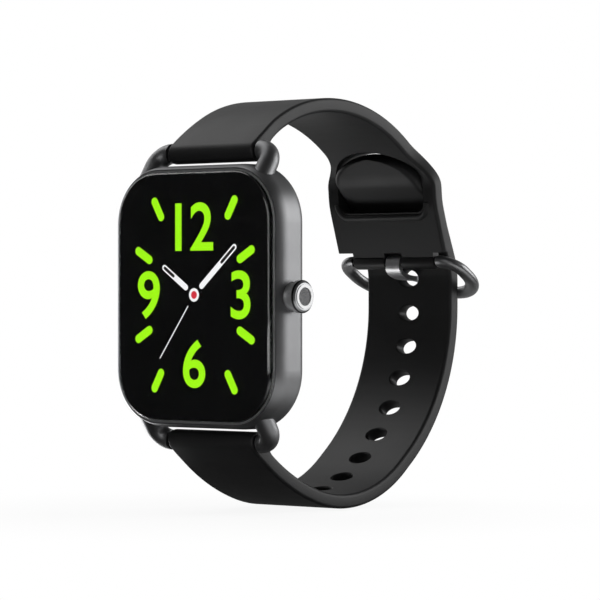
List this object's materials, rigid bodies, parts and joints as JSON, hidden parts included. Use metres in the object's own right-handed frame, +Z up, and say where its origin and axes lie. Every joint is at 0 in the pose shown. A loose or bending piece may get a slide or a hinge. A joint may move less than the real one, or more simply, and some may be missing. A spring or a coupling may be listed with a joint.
{
  "type": "smartwatch",
  "caption": "Rectangular smartwatch with a turning, pressing side crown, bent rod lugs and a buckled tuck-through silicone strap.",
  "frame": {"origin": "Centre of the flat back face that lies on the wrist or the charging dock.", "axes": "+X towards the crown side (3 o'clock), +Y from the display back into the wrist opening, +Z up the dial (12 o'clock)."},
  "size_m": [0.0404, 0.065, 0.0715],
  "materials": {
    "case_metal": "dark grey metallic finish, satin",
    "polished_trim": "polished chamfer round the glass",
    "cover_glass": "glossy, curved edges",
    "gasket": "matte black",
    "display": "black panel with a lit dial",
    "flex_circuit": "amber film",
    "carrier_plastic": "matte black moulding",
    "circuit_board": "dark green solder mask",
    "screw_steel": "plain steel",
    "shield_steel": "pressed sheet",
    "chip": "black moulding",
    "connector": "beige moulding",
    "battery_foil": "foil pouch",
    "motor_steel": "pressed steel can",
    "motor_weight": "sintered heavy alloy",
    "back_plastic": "gloss black moulding",
    "sensor_window": "dark tinted lens",
    "led": "green emitters",
    "contact_gold": "gold plated",
    "magnet": "nickel plated",
    "crown_metal": "dark grey metallic finish, satin",
    "crown_bright": "polished ring",
    "crown_disc": "fine textured dark grey",
    "switch_plastic": "black moulding",
    "release_steel": "plain steel",
    "strap_silicone": "soft matte black silicone",
    "buckle_metal": "dark grey metallic finish, semi gloss",
    "tang_metal": "dark grey metal"
  },
  "bodies": {
    "watch": {"case_frame": "case_metal", "lug_upper_left": "case_metal", "lug_upper_right": "case_metal", "lug_lower_left": "case_metal", "lug_lower_right": "case_metal", "bezel_trim": "polished_trim", "cover_glass": "cover_glass", "glass_gasket": "gasket", "display_panel": "display", "display_flex": "flex_circuit", "carrier": "carrier_plastic", "main_board": "circuit_board", "board_screws": "screw_steel", "shield_can": "shield_steel", "processor_chip": "chip", "memory_chip": "chip", "power_chip": "chip", "flex_connector": "connector", "battery": "battery_foil", "battery_flex": "flex_circuit", "motor_cover": "motor_steel", "motor_base": "motor_steel", "motor_shaft": "screw_steel", "back_cover": "back_plastic", "back_gasket": "gasket", "sensor_window": "sensor_window", "sensor_board": "circuit_board", "sensor_leds": "led", "photodiodes": "chip", "sensor_flex": "flex_circuit", "charge_contacts": "contact_gold", "dock_magnets": "magnet", "crown_bush": "contact_gold", "switch_body": "switch_plastic", "switch_bracket": "shield_steel", "upper_bar_tube": "screw_steel", "upper_bar_tip": "screw_steel", "upper_bar_spring": "screw_steel", "lower_bar_tube": "screw_steel", "lower_bar_tip": "screw_steel", "lower_bar_spring": "screw_steel", "upper_strap": "strap_silicone", "lower_strap": "strap_silicone"},
    "crown_slider": {"switch_plunger": "connector"},
    "crown": {"crown_knob": "crown_metal", "crown_ring": "crown_bright", "crown_disc": "crown_disc", "crown_stem": "screw_steel", "crown_seals": "gasket", "stem_clip": "shield_steel"},
    "motor_weight": {"motor_rotor": "motor_weight"},
    "upper_release": {"upper_release": "release_steel"},
    "lower_release": {"lower_release": "release_steel"},
    "buckle_ring": {"buckle_ring": "buckle_metal", "buckle_pin": "screw_steel"},
    "buckle_tang": {"buckle_tang": "tang_metal"}
  },
  "joints": [
    {"name": "crown_press", "type": "slide", "parent": "watch", "child": "crown_slider", "axis": [-1, 0, 0], "range_m": [0, 0.0004], "stiffness_N_per_m": 4000, "springref_m": -0.0001},
    {"name": "crown_turn", "type": "hinge", "parent": "crown_slider", "child": "crown", "pos_m": [0.0205, -0.0056, 0], "axis": [1, 0, 0], "continuous": true},
    {"name": "motor_spin", "type": "hinge", "parent": "watch", "child": "motor_weight", "pos_m": [-0.0096, -0.0058, 0], "axis": [0, 1, 0], "continuous": true},
    {"name": "upper_release_slide", "type": "slide", "parent": "watch", "child": "upper_release", "axis": [-1, 0, 0], "range_m": [0, 0.0011], "stiffness_N_per_m": 600, "springref_m": -0.001, "deforming": ["upper_bar_spring"]},
    {"name": "lower_release_slide", "type": "slide", "parent": "watch", "child": "lower_release", "axis": [-1, 0, 0], "range_m": [0, 0.0011], "stiffness_N_per_m": 600, "springref_m": -0.001, "deforming": ["lower_bar_spring"]},
    {"name": "buckle_swing", "type": "hinge", "parent": "watch", "child": "buckle_ring", "pos_m": [0, 0.04471, 0.00636], "axis": [1, 0, 0], "range_deg": [-11, 2]},
    {"name": "tang_swing", "type": "hinge", "parent": "watch", "child": "buckle_tang", "pos_m": [0, 0.04471, 0.00636], "axis": [1, 0, 0], "range_deg": [0, 8]}
  ]
}
